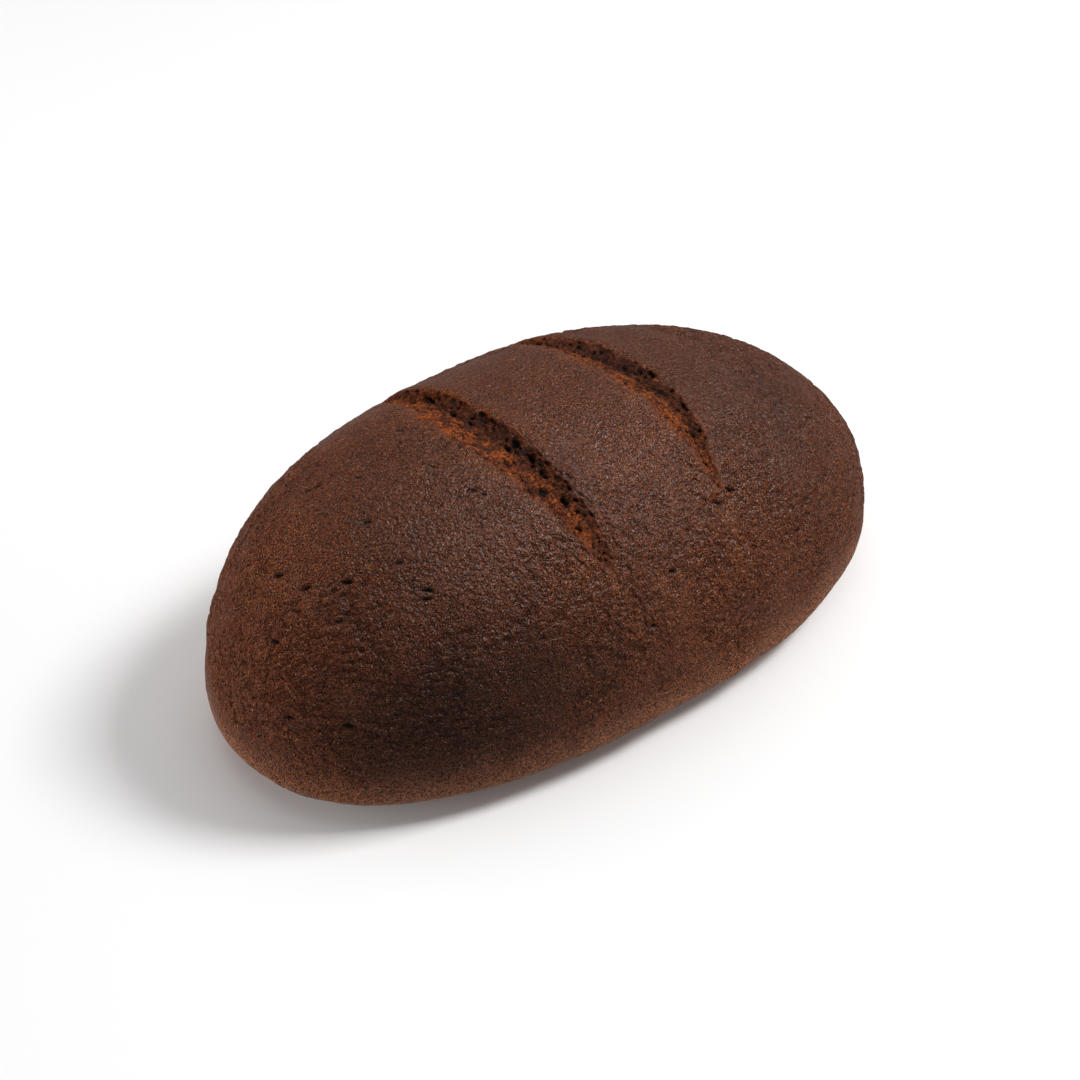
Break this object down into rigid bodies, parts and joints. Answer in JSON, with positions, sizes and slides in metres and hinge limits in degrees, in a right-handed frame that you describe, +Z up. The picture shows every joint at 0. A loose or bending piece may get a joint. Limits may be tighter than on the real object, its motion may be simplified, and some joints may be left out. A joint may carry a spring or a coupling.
{
  "type": "oval rye loaf",
  "caption": "Domed oval loaf of dark rye bread with a flat base and open slashes across its crown, made to rest on a board, tray or shelf.",
  "frame": {"origin": "middle of the loaf's outline, on the plane of its flat base", "axes": "+X along the loaf towards its lower, slightly wider end, +Y across it, +Z up out of the base"},
  "size_m": [0.2, 0.1122, 0.0761],
  "materials": {
    "crust": null
  },
  "bodies": {
    "root": {"loaf": "crust"}
  },
  "joints": []
}
